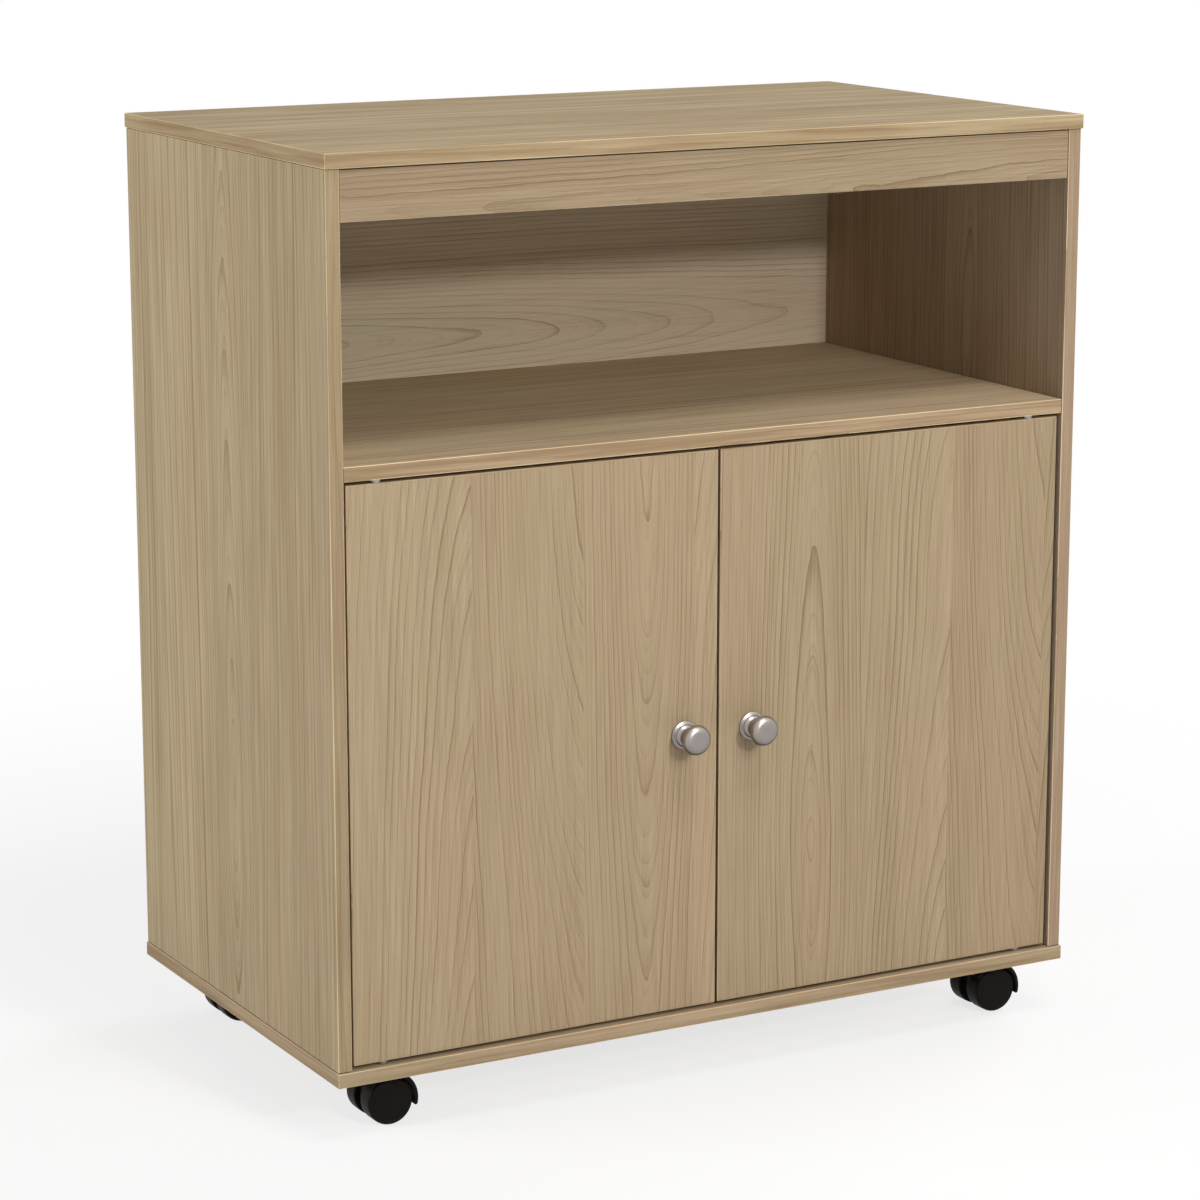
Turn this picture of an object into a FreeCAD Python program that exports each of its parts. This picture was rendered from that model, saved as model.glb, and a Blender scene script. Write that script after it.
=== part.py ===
import FreeCAD, Part
import math
import os

Vector = FreeCAD.Vector
RIGHT = Vector(1, 0, 0)
BACK = Vector(0, 1, 0)
UP = Vector(0, 0, 1)
FULL_TURN_ANGLE = 360.0

# Kitchen cart: a boarded cabinet with an open niche over two doors, on four twin-wheel casters.
# Millimetres. The origin lies on the floor, in the middle of the box that holds the whole cart.
# The front looks along -Y.

# Boarded body
CART_WIDTH = 700.0
CART_DEPTH = 400.0
BODY_HEIGHT = 740.0
BOARD = 12.0
ARRIS = 0.6
SIDE_REVEAL = 1.0
FRONT_REVEAL = 2.0
REAR_REVEAL = 1.0
NICHE_HEIGHT = 229.0
RAIL_HEIGHT = 41.0
RAIL_TOP_GAP = 0.8
INNER_SETBACK = 1.0

# Back panel and its grooves
BACK_BOARD = 3.0
BACK_INSET = 17.0
GROOVE_DEPTH = 5.0
GROOVE_PLAY = 0.15

# Doors
DOOR_GAP = 3.0
DOOR_MEETING_GAP = 2.4
DOOR_SETBACK = 3.0
PIVOT_INSET = 27.5

# Fits
OVERRUN = 1.0
FIT_PLAY = 0.05
RUNNING_PLAY = 0.05

# Pivot pins in the doors and their bushes in the boards
PIN_RADIUS = 2.5
PIN_DOOR_DEPTH = 14.0
PIN_BOARD_DEPTH = 8.0
BUSH_WALL = 1.5
BUSH_FLOOR = 1.0
COLLAR_RADIUS = 5.0
PIVOT_PLAY = 0.1

# Knobs: places along the axis as shares of the length, radii as shares of the head's
KNOB_LENGTH = 25.5
KNOB_HEAD_RADIUS = 12.75
KNOB_FLANGE_RADIUS = 11.0
KNOB_NECK_RADIUS = 5.7
KNOB_BEAD_RADIUS = 6.8
KNOB_FROM_MEETING = 31.0
KNOB_FLANGE_SHARE = 0.065
KNOB_BELL_SHARE = 0.09
KNOB_BEAD_SHARES = (0.29, 0.355, 0.42)
KNOB_SHOULDER_SHARE = 0.63
KNOB_RIM_SHARE = 0.79
KNOB_FACE_SHARE = 0.925
KNOB_BELL_RADIUS_SHARE = 0.66
KNOB_CHEEK_RADIUS_SHARE = 0.78
KNOB_CHEEK_SHARE = 0.5
KNOB_FACE_RADIUS_SHARE = 0.8
KNOB_CROWN_RADIUS_SHARE = 0.45
KNOB_CROWN_SHARE = 0.985

# Knob screws
KNOB_SCREW_RADIUS = 2.0
KNOB_SCREW_HEAD_RADIUS = 4.0
KNOB_SCREW_HEAD = 2.4
KNOB_THREAD_DEPTH = 9.0

# Magnetic catches under the shelf and their strike plates on the doors
CATCH_FROM_MEETING = 24.0
CATCH_WIDTH = 20.0
CATCH_DEPTH = 15.0
CATCH_HEIGHT = 13.0
CATCH_WALL = 1.8
CATCH_EAR = 9.0
CATCH_EAR_THICKNESS = 2.4
POLE_THICKNESS = 1.5
POLE_PROUD = 0.8
POLE_DEPTH = 11.0
STRIKE_THICKNESS = 1.2
STRIKE_PLAY = 0.1
STRIKE_BORDER = 1.5
SMALL_SCREW_RADIUS = 1.5
SMALL_SCREW_HEAD_RADIUS = 3.0
SMALL_SCREW_HEAD = 1.4
SMALL_SCREW_DEPTH = 8.0
PAN_TOP_SHARE = 0.72

# Dowels
DOWEL_RADIUS = 3.0
DOWEL_FACE_DEPTH = 9.0
DOWEL_END_DEPTH = 15.0
DOWEL_SHARES = (0.28, 0.72)

# Screws that hold the bottom board to the side panels
BOTTOM_SCREW_RADIUS = 2.5
BOTTOM_SCREW_LENGTH = 45.0
BOTTOM_SCREW_HEAD_RADIUS = 4.4
BOTTOM_SCREW_SUNK = 0.3
BOTTOM_SCREW_SHARES = (0.12, 0.88)

# Casters: the swivel stands on the caster's own axis, the axle trails it
CASTER_HEIGHT = 50.0
CASTER_SIDE_INSET = 54.0
CASTER_END_INSET = 52.0
TRAIL = 6.0
WHEEL_RADIUS = 20.0
WHEEL_WIDTH = 17.0
WHEEL_SHOULDER = 2.5
WHEEL_FACE = 3.7
WHEEL_GAP = 0.6
WEB_THICKNESS = 10.0
WEB_RADIUS = 15.0
AXLE_RADIUS = 3.0
AXLE_CLEARANCE = 0.4
HOOD_CLEARANCE = 1.4
HOOD_THICKNESS = 3.4
HOOD_EASING = 1.2
HOOD_START_ANGLE = -12.0
HOOD_SWEEP_ANGLE = 155.0
BOSS_RADIUS = 9.5
KINGPIN_RADIUS = 3.0
KINGPIN_OVER_AXLE = 4.0
SWIVEL_PLAY = 0.25
PLATE_WIDTH = 30.0
PLATE_LENGTH = 46.0
PLATE_THICKNESS = 2.0
PLATE_CORNER = 5.0
RACE_RADIUS = 12.0
RACE_HEIGHT = 2.2
PLATE_HOLE_PITCH = 34.0
PLATE_SCREW_RADIUS = 1.8
PLATE_SCREW_HEAD_RADIUS = 3.6
PLATE_SCREW_HEAD = 1.7
PLATE_SCREW_DEPTH = 9.0

# Levels, from the floor up
bottom_underside = CASTER_HEIGHT
bottom_face = bottom_underside + BOARD
top_face = bottom_underside + BODY_HEIGHT
top_underside = top_face - BOARD
shelf_face = top_underside - NICHE_HEIGHT
shelf_underside = shelf_face - BOARD

# Planes across the width
outer_x = CART_WIDTH / 2
side_outer_x = outer_x - SIDE_REVEAL
side_inner_x = side_outer_x - BOARD
side_middle_x = side_inner_x + BOARD / 2
door_outer_x = side_inner_x - DOOR_GAP
door_inner_x = DOOR_MEETING_GAP / 2
pivot_x = door_outer_x - PIVOT_INSET

# Planes from front to back
knob_stand_out = KNOB_LENGTH - FRONT_REVEAL - DOOR_SETBACK
front_y = (knob_stand_out - CART_DEPTH) / 2
rear_y = front_y + CART_DEPTH
side_front_y = front_y + FRONT_REVEAL
side_rear_y = rear_y - REAR_REVEAL
side_depth = side_rear_y - side_front_y
inner_front_y = side_front_y + INNER_SETBACK
door_front_y = side_front_y + DOOR_SETBACK
door_back_y = door_front_y + BOARD
pivot_y = door_front_y + BOARD / 2
back_rear_y = side_rear_y - BACK_INSET
back_front_y = back_rear_y - BACK_BOARD
shelf_rear_y = back_front_y - GROOVE_PLAY
shelf_depth = shelf_rear_y - inner_front_y

# Rail and doors
rail_top = top_underside - RAIL_TOP_GAP
rail_bottom = rail_top - RAIL_HEIGHT
rail_middle_y = inner_front_y + BOARD / 2
door_bottom = bottom_face + DOOR_GAP
door_top = shelf_underside - DOOR_GAP
door_middle = (door_bottom + door_top) / 2
knob_x = door_inner_x + KNOB_FROM_MEETING
catch_x = door_inner_x + CATCH_FROM_MEETING

nodes = {}


def block(low_x, high_x, low_y, high_y, low_z, high_z):
    """A square-edged block between three pairs of planes."""
    corner = Vector(low_x, low_y, low_z)
    return Part.makeBox(high_x - low_x, high_y - low_y, high_z - low_z, corner)


def board(low_x, high_x, low_y, high_y, low_z, high_z):
    """A board with all its edges eased."""
    solid = block(low_x, high_x, low_y, high_y, low_z, high_z)
    return solid.makeChamfer(ARRIS, solid.Edges)


def rod(base, axis, radius, length):
    """A round bar that starts at base and runs along axis."""
    return Part.makeCylinder(radius, length, base, axis)


def placed(solid, base, axis):
    """A solid made along Z from the origin, moved to base and turned to point along axis."""
    solid.Placement = FreeCAD.Placement(base, FreeCAD.Rotation(UP, axis))
    return solid


def turned(outline):
    """A solid turned about Z from an outline of radii and heights."""
    points = [Vector(radius, 0, height) for radius, height in outline]
    return Part.Face(Part.makePolygon(points + points[:1])).revolve(Vector(), UP, FULL_TURN_ANGLE)


def pan_screw(head_radius, head_height, shank_radius, shank_length):
    """A pan-headed screw: its shank runs along -Z from the origin, its head stands along +Z."""
    return turned([
        (0, -shank_length),
        (shank_radius, -shank_length),
        (shank_radius, 0),
        (head_radius, 0),
        (head_radius * PAN_TOP_SHARE, head_height),
        (0, head_height),
    ])


def flush_screw(head_radius, shank_radius, length):
    """A countersunk screw: its flat head lies at the origin facing +Z, its point along -Z."""
    return turned([
        (0, -length),
        (shank_radius, -length),
        (shank_radius, shank_radius - head_radius),
        (head_radius, 0),
        (0, 0),
    ])


def flush_hole(head_radius, shank_radius, length):
    """The countersunk hole that takes a flush screw."""
    rim = head_radius + FIT_PLAY
    wall = shank_radius + FIT_PLAY
    return turned([
        (0, -length - FIT_PLAY),
        (wall, -length - FIT_PLAY),
        (wall, wall - rim),
        (rim, 0),
        (rim, OVERRUN),
        (0, OVERRUN),
    ])


class Joints:
    """Collects the hidden fittings of the boards, and the holes that each board needs for them."""

    def __init__(self):
        self.dowels = []
        self.screws = []
        self.holes = {}

    def drill(self, name, hole):
        self.holes.setdefault(name, []).append(hole)

    def dowel(self, name, mate, point, inward):
        """A wooden dowel across a joint, deep in the end of board name and shallow in board mate."""
        length = DOWEL_END_DEPTH + DOWEL_FACE_DEPTH
        start = point - inward * DOWEL_FACE_DEPTH
        self.dowels.append(rod(start, inward, DOWEL_RADIUS, length))
        hole_start = start - inward * FIT_PLAY
        for board_name in (name, mate):
            self.drill(board_name, rod(hole_start, inward, DOWEL_RADIUS + FIT_PLAY, length + 2 * FIT_PLAY))

    def screw(self, name, mate, point, outward):
        """A long countersunk screw through board name into the end of board mate."""
        head = point - outward * BOTTOM_SCREW_SUNK
        screw = flush_screw(BOTTOM_SCREW_HEAD_RADIUS, BOTTOM_SCREW_RADIUS, BOTTOM_SCREW_LENGTH)
        self.screws.append(placed(screw, head, outward))
        for board_name in (name, mate):
            hole = flush_hole(BOTTOM_SCREW_HEAD_RADIUS, BOTTOM_SCREW_RADIUS, BOTTOM_SCREW_LENGTH)
            self.drill(board_name, placed(hole, head, outward))

    def drilled(self, name, solid):
        holes = self.holes.get(name, [])
        return solid.cut(holes) if holes else solid


def side_name(hand):
    return "left" if hand < 0 else "right"


def join_boards(joints):
    """Places every dowel and screw of the boarded body."""
    for hand in (-1, 1):
        side = side_name(hand) + "_side_panel"
        to_middle = RIGHT * -hand
        joint_x = hand * side_inner_x
        for share in DOWEL_SHARES:
            top_point = Vector(hand * side_middle_x, side_front_y + share * side_depth, top_underside)
            joints.dowel(side, "top_panel", top_point, -UP)
            shelf_point = Vector(joint_x, inner_front_y + share * shelf_depth, shelf_underside + BOARD / 2)
            joints.dowel("middle_shelf", side, shelf_point, to_middle)
            rail_point = Vector(joint_x, rail_middle_y, rail_bottom + share * RAIL_HEIGHT)
            joints.dowel("front_rail", side, rail_point, to_middle)
        for share in BOTTOM_SCREW_SHARES:
            foot = Vector(hand * side_middle_x, side_front_y + share * side_depth, bottom_underside)
            joints.screw("bottom_panel", side, foot, -UP)


def back_groove():
    """The groove that runs round the body and holds the back panel's four edges."""
    reach_x = side_inner_x + GROOVE_DEPTH
    return block(-reach_x, reach_x, back_front_y - GROOVE_PLAY, back_rear_y + GROOVE_PLAY,
                 bottom_face - GROOVE_DEPTH, top_underside + GROOVE_DEPTH)


def make_body_boards(joints):
    """Top, bottom, sides, shelf, rail and back panel."""
    groove = back_groove()
    top = board(-outer_x, outer_x, front_y, rear_y, top_underside, top_face)
    nodes["top_panel"] = joints.drilled("top_panel", top.cut(groove))
    bottom = board(-outer_x, outer_x, front_y, rear_y, bottom_underside, bottom_face)
    nodes["bottom_panel"] = joints.drilled("bottom_panel", bottom.cut(groove))
    for hand in (-1, 1):
        name = side_name(hand) + "_side_panel"
        low_x, high_x = sorted((hand * side_outer_x, hand * side_inner_x))
        side = board(low_x, high_x, side_front_y, side_rear_y, bottom_face, top_underside)
        nodes[name] = joints.drilled(name, side.cut(groove))
    shelf = board(-side_inner_x, side_inner_x, inner_front_y, shelf_rear_y, shelf_underside, shelf_face)
    nodes["middle_shelf"] = joints.drilled("middle_shelf", shelf)
    rail = board(-side_inner_x, side_inner_x, inner_front_y, inner_front_y + BOARD, rail_bottom, rail_top)
    nodes["front_rail"] = joints.drilled("front_rail", rail)
    tongue = GROOVE_DEPTH - GROOVE_PLAY
    nodes["back_panel"] = block(-side_inner_x - tongue, side_inner_x + tongue, back_front_y, back_rear_y,
                                bottom_face - tongue, top_underside + tongue)


def knob_shape():
    """A turned knob that stands along +Z on its flange, with a threaded hole from below."""
    bead_start, bead_middle, bead_end = (share * KNOB_LENGTH for share in KNOB_BEAD_SHARES)
    flange = KNOB_FLANGE_SHARE * KNOB_LENGTH
    bell_radius = KNOB_BELL_RADIUS_SHARE * KNOB_HEAD_RADIUS
    knob = turned([
        (0, 0),
        (KNOB_FLANGE_RADIUS, 0),
        (KNOB_FLANGE_RADIUS, flange),
        (bell_radius, flange),
        (bell_radius, KNOB_BELL_SHARE * KNOB_LENGTH),
        (KNOB_NECK_RADIUS, bead_start),
        (KNOB_BEAD_RADIUS, bead_middle),
        (KNOB_NECK_RADIUS, bead_end),
        (KNOB_CHEEK_RADIUS_SHARE * KNOB_HEAD_RADIUS, KNOB_CHEEK_SHARE * KNOB_LENGTH),
        (KNOB_HEAD_RADIUS, KNOB_SHOULDER_SHARE * KNOB_LENGTH),
        (KNOB_HEAD_RADIUS, KNOB_RIM_SHARE * KNOB_LENGTH),
        (KNOB_FACE_RADIUS_SHARE * KNOB_HEAD_RADIUS, KNOB_FACE_SHARE * KNOB_LENGTH),
        (KNOB_CROWN_RADIUS_SHARE * KNOB_HEAD_RADIUS, KNOB_CROWN_SHARE * KNOB_LENGTH),
        (0, KNOB_LENGTH),
    ])
    thread = rod(UP * -OVERRUN, UP, KNOB_SCREW_RADIUS + FIT_PLAY, KNOB_THREAD_DEPTH + FIT_PLAY + OVERRUN)
    return knob.cut(thread)


def pivot_pin(base, axis):
    """A door's pivot pin. The base lies on the board's face, axis runs from the board to the door."""
    shaft = rod(base - axis * PIN_BOARD_DEPTH, axis, PIN_RADIUS,
                PIN_BOARD_DEPTH + DOOR_GAP + PIN_DOOR_DEPTH)
    collar = rod(base + axis * PIVOT_PLAY, axis, COLLAR_RADIUS, DOOR_GAP - 2 * PIVOT_PLAY)
    return shaft.fuse(collar).removeSplitter()


def pivot_bush(base, axis):
    """The bush in which a pivot pin turns, pressed flush into the board's face at base."""
    depth = PIN_BOARD_DEPTH + BUSH_FLOOR
    sleeve = rod(base - axis * depth, axis, PIN_RADIUS + RUNNING_PLAY + BUSH_WALL, depth)
    bore = rod(base - axis * (PIN_BOARD_DEPTH + RUNNING_PLAY), axis, PIN_RADIUS + RUNNING_PLAY,
               PIN_BOARD_DEPTH + RUNNING_PLAY + OVERRUN)
    return sleeve.cut(bore)


def make_pivots(joints):
    """Pins above and below each door, and the bushes that hold them. Gives back the pin holes."""
    bush_radius = PIN_RADIUS + RUNNING_PLAY + BUSH_WALL
    bush_depth = PIN_BOARD_DEPTH + BUSH_FLOOR
    seats = (("upper", shelf_underside, -UP, "middle_shelf"), ("lower", bottom_face, UP, "bottom_panel"))
    bushes = []
    pin_holes = {}
    for hand in (-1, 1):
        for level, seat_z, axis, carrier in seats:
            base = Vector(hand * pivot_x, pivot_y, seat_z)
            nodes["%s_door_%s_pin" % (side_name(hand), level)] = pivot_pin(base, axis)
            bushes.append(pivot_bush(base, axis))
            joints.drill(carrier, rod(base - axis * (bush_depth + FIT_PLAY), axis, bush_radius + FIT_PLAY,
                                      bush_depth + FIT_PLAY + OVERRUN))
            hole = rod(base, axis, PIN_RADIUS + FIT_PLAY, DOOR_GAP + PIN_DOOR_DEPTH + FIT_PLAY)
            pin_holes.setdefault(hand, []).append(hole)
    nodes["pivot_bushes"] = Part.makeCompound(bushes)
    return pin_holes


def make_catches(joints):
    """A magnetic catch for each door: housing, magnet and poles under the shelf."""
    housings = []
    magnets = []
    poles = []
    screws = []
    pole_front = door_back_y + STRIKE_THICKNESS + STRIKE_PLAY
    front = pole_front + POLE_PROUD
    rear = front + CATCH_DEPTH
    bottom = shelf_underside - CATCH_HEIGHT
    ear_bottom = shelf_underside - CATCH_EAR_THICKNESS
    pole_rear = pole_front + POLE_PROUD + POLE_DEPTH
    for hand in (-1, 1):
        middle = hand * catch_x
        half = CATCH_WIDTH / 2
        shell = block(middle - half, middle + half, front, rear, bottom, shelf_underside)
        ear = block(middle - half, middle + half, rear, rear + CATCH_EAR, ear_bottom, shelf_underside)
        mouth_half = half - CATCH_WALL
        mouth_bottom = bottom + CATCH_WALL
        mouth_top = shelf_underside - CATCH_EAR_THICKNESS
        mouth = block(middle - mouth_half, middle + mouth_half, front - OVERRUN, pole_rear + FIT_PLAY,
                      mouth_bottom, mouth_top)
        housing = shell.fuse(ear).removeSplitter().cut(mouth)
        pole_half = mouth_half - FIT_PLAY
        pole_low = mouth_bottom + FIT_PLAY
        pole_high = mouth_top - FIT_PLAY
        poles.append(block(middle - pole_half, middle + pole_half, pole_front, pole_rear,
                           pole_low, pole_low + POLE_THICKNESS))
        poles.append(block(middle - pole_half, middle + pole_half, pole_front, pole_rear,
                           pole_high - POLE_THICKNESS, pole_high))
        magnets.append(block(middle - pole_half, middle + pole_half, front, pole_rear,
                             pole_low + POLE_THICKNESS, pole_high - POLE_THICKNESS))
        seat = Vector(middle, rear + CATCH_EAR / 2, ear_bottom)
        hole = rod(seat + UP * -OVERRUN, UP, SMALL_SCREW_RADIUS + FIT_PLAY,
                   OVERRUN + CATCH_EAR_THICKNESS + SMALL_SCREW_DEPTH + FIT_PLAY)
        joints.drill("middle_shelf", hole)
        screw = pan_screw(SMALL_SCREW_HEAD_RADIUS, SMALL_SCREW_HEAD, SMALL_SCREW_RADIUS,
                          CATCH_EAR_THICKNESS + SMALL_SCREW_DEPTH)
        screws.append(placed(screw, seat, -UP))
        housings.append(housing.cut(hole))
    nodes["catch_housings"] = Part.makeCompound(housings)
    nodes["catch_magnets"] = Part.makeCompound(magnets)
    nodes["catch_pole_plates"] = Part.makeCompound(poles)
    nodes["catch_screws"] = Part.makeCompound(screws)


def make_doors(pin_holes):
    """Each door with its knob, knob screw, strike plate and strike screw."""
    strike_half = CATCH_WIDTH / 2 - STRIKE_BORDER
    strike_top = shelf_underside - max(CATCH_EAR_THICKNESS, DOOR_GAP) - STRIKE_BORDER
    strike_bottom = shelf_underside - CATCH_HEIGHT - STRIKE_BORDER
    strike_depth = SMALL_SCREW_DEPTH + STRIKE_THICKNESS
    for hand in (-1, 1):
        name = side_name(hand)
        low_x, high_x = sorted((hand * door_inner_x, hand * door_outer_x))
        door = board(low_x, high_x, door_front_y, door_back_y, door_bottom, door_top)
        knob_base = Vector(hand * knob_x, door_front_y, door_middle)
        strike_middle = Vector(hand * catch_x, door_back_y + STRIKE_THICKNESS,
                               (strike_top + strike_bottom) / 2)
        knob_hole = rod(knob_base - BACK * OVERRUN, BACK, KNOB_SCREW_RADIUS + FIT_PLAY,
                        BOARD + 2 * OVERRUN)
        plate = block(hand * catch_x - strike_half, hand * catch_x + strike_half,
                      door_back_y, door_back_y + STRIKE_THICKNESS, strike_bottom, strike_top)
        sink = flush_hole(SMALL_SCREW_HEAD_RADIUS, SMALL_SCREW_RADIUS, strike_depth)
        plate_cut = placed(sink, strike_middle, BACK)
        nodes[name + "_door"] = door.cut(pin_holes[hand] + [knob_hole, plate_cut])
        nodes[name + "_knob"] = placed(knob_shape(), knob_base, -BACK)
        screw = pan_screw(KNOB_SCREW_HEAD_RADIUS, KNOB_SCREW_HEAD, KNOB_SCREW_RADIUS,
                          BOARD + KNOB_THREAD_DEPTH)
        nodes[name + "_knob_screw"] = placed(screw, Vector(hand * knob_x, door_back_y, door_middle), BACK)
        nodes[name + "_strike_plate"] = plate.cut(plate_cut)
        strike_screw = flush_screw(SMALL_SCREW_HEAD_RADIUS, SMALL_SCREW_RADIUS, strike_depth)
        nodes[name + "_strike_screw"] = placed(strike_screw, strike_middle, BACK)


def wheel_shape():
    """One wheel on the Z axis: its inner side at zero, its face towards +Z, its bore open at zero."""
    bore_radius = AXLE_RADIUS + RUNNING_PLAY
    bore_depth = WHEEL_WIDTH - WHEEL_FACE
    return turned([
        (bore_radius, 0),
        (WHEEL_RADIUS, 0),
        (WHEEL_RADIUS, WHEEL_WIDTH - WHEEL_SHOULDER),
        (WHEEL_RADIUS - WHEEL_SHOULDER, WHEEL_WIDTH),
        (0, WHEEL_WIDTH),
        (0, bore_depth),
        (bore_radius, bore_depth),
    ])


def hood_section(inner, outer, half_width):
    """The section of the hood's band in the plane of +X and +Y, its outer corners eased."""
    crown = half_width - HOOD_EASING
    corners = [
        Vector(inner, -half_width, 0),
        Vector(outer - HOOD_EASING, -half_width, 0),
        Vector(outer, -crown, 0),
        Vector(outer, crown, 0),
        Vector(outer - HOOD_EASING, half_width, 0),
        Vector(inner, half_width, 0),
    ]
    return Part.Face(Part.makePolygon(corners + corners[:1]))


def hood_shape():
    """The moulded hood: a band over the wheels, a web between them, and the swivel boss."""
    axle_centre = Vector(TRAIL, 0, WHEEL_RADIUS)
    inner = WHEEL_RADIUS + HOOD_CLEARANCE
    outer = inner + HOOD_THICKNESS
    half_width = WEB_THICKNESS / 2 + WHEEL_GAP + WHEEL_WIDTH
    band = hood_section(inner, outer, half_width)
    band.rotate(Vector(), BACK, -HOOD_START_ANGLE)
    band = band.revolve(Vector(), BACK, -HOOD_SWEEP_ANGLE)
    tip_angle = math.radians(HOOD_START_ANGLE)
    tip_radius = (inner + outer) / 2
    tip_width = half_width - HOOD_EASING
    tip_base = Vector(tip_radius * math.cos(tip_angle), -tip_width, tip_radius * math.sin(tip_angle))
    tip = rod(tip_base, BACK, HOOD_THICKNESS / 2, 2 * tip_width)
    web_side = BACK * (WEB_THICKNESS / 2)
    web = block(-WEB_RADIUS, WEB_RADIUS, -web_side.y, web_side.y, 0, outer)
    web = web.common(rod(-web_side, BACK, tip_radius, WEB_THICKNESS))
    hub = rod(-web_side, BACK, WEB_RADIUS, WEB_THICKNESS)
    hood = band.multiFuse([tip, web, hub])
    hood.translate(axle_centre)
    boss_bottom = WHEEL_RADIUS + inner + SWIVEL_PLAY
    boss_top = CASTER_HEIGHT - PLATE_THICKNESS - RACE_HEIGHT - SWIVEL_PLAY
    hood = hood.fuse(rod(UP * boss_bottom, UP, BOSS_RADIUS, boss_top - boss_bottom)).removeSplitter()
    pin_bottom = WHEEL_RADIUS + AXLE_RADIUS + KINGPIN_OVER_AXLE
    bore = rod(UP * (pin_bottom - RUNNING_PLAY), UP, KINGPIN_RADIUS + RUNNING_PLAY, CASTER_HEIGHT)
    axle_hole = rod(axle_centre - BACK * WEB_THICKNESS, BACK, AXLE_RADIUS + FIT_PLAY, 2 * WEB_THICKNESS)
    return hood.cut([bore, axle_hole])


def plate_shape():
    """The mounting plate with its swivel race below, its screw holes and the kingpin's hole."""
    half_width = PLATE_WIDTH / 2
    half_length = PLATE_LENGTH / 2
    underside = CASTER_HEIGHT - PLATE_THICKNESS
    plate = block(-half_width, half_width, -half_length, half_length, underside, CASTER_HEIGHT)
    upright = [edge for edge in plate.Edges if edge.BoundBox.ZLength > edge.BoundBox.DiagonalLength / 2]
    plate = plate.makeChamfer(PLATE_CORNER, upright)
    plate = plate.fuse(rod(UP * (underside - RACE_HEIGHT), UP, RACE_RADIUS, RACE_HEIGHT)).removeSplitter()
    cuts = [rod(Vector(), UP, KINGPIN_RADIUS + FIT_PLAY, CASTER_HEIGHT + OVERRUN)]
    for spot in plate_screw_spots():
        cuts.append(rod(spot - UP * OVERRUN, UP, PLATE_SCREW_RADIUS + FIT_PLAY,
                        PLATE_THICKNESS + 2 * OVERRUN))
    return plate.cut(cuts)


def plate_screw_spots():
    """Where the screws pass the underside of a caster's plate, about its swivel axis."""
    reach = PLATE_HOLE_PITCH / 2
    underside = CASTER_HEIGHT - PLATE_THICKNESS
    return [Vector(0, y, underside) for y in (-reach, reach)]


def make_casters(joints):
    """Four casters in line, and the screws that hold their plates to the bottom board."""
    screws = []
    axle_centre = Vector(TRAIL, 0, WHEEL_RADIUS)
    wheel_start = WEB_THICKNESS / 2 + WHEEL_GAP
    axle_half = wheel_start + WHEEL_WIDTH - WHEEL_FACE - AXLE_CLEARANCE
    pin_bottom = WHEEL_RADIUS + AXLE_RADIUS + KINGPIN_OVER_AXLE
    end_places = (("front", front_y + CASTER_END_INSET), ("rear", rear_y - CASTER_END_INSET))
    for end, place_y in end_places:
        for hand in (-1, 1):
            name = "%s_%s_" % (end, side_name(hand))
            place = Vector(hand * (outer_x - CASTER_SIDE_INSET), place_y, 0)
            pieces = {
                "caster_plate": plate_shape(),
                "kingpin": rod(UP * pin_bottom, UP, KINGPIN_RADIUS, CASTER_HEIGHT - pin_bottom),
                "caster_hood": hood_shape(),
                "axle": rod(axle_centre - BACK * axle_half, BACK, AXLE_RADIUS, 2 * axle_half),
                "fore_wheel": placed(wheel_shape(), axle_centre - BACK * wheel_start, -BACK),
                "aft_wheel": placed(wheel_shape(), axle_centre + BACK * wheel_start, BACK),
            }
            for piece, solid in pieces.items():
                solid.translate(place)
                nodes[name + piece] = solid
            for spot in plate_screw_spots():
                screw = pan_screw(PLATE_SCREW_HEAD_RADIUS, PLATE_SCREW_HEAD, PLATE_SCREW_RADIUS,
                                  PLATE_THICKNESS + PLATE_SCREW_DEPTH)
                screws.append(placed(screw, spot + place, -UP))
                joints.drill("bottom_panel", rod(spot + place, UP, PLATE_SCREW_RADIUS + FIT_PLAY,
                                                 PLATE_THICKNESS + PLATE_SCREW_DEPTH + FIT_PLAY))
    nodes["caster_screws"] = Part.makeCompound(screws)


def make_fittings(joints):
    """The hidden fittings, like with like."""
    nodes["dowels"] = Part.makeCompound(joints.dowels)
    nodes["bottom_screws"] = Part.makeCompound(joints.screws)


def main():
    joints = Joints()
    join_boards(joints)
    pin_holes = make_pivots(joints)
    make_catches(joints)
    make_casters(joints)
    make_body_boards(joints)
    make_doors(pin_holes)
    make_fittings(joints)
    os.makedirs("parts", exist_ok=True)
    for name, shape in nodes.items():
        shape.exportStep("parts/%s.step" % name)


main()
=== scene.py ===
import math
from collections import namedtuple

import bmesh
import bpy
from mathutils import Matrix, Vector


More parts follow.
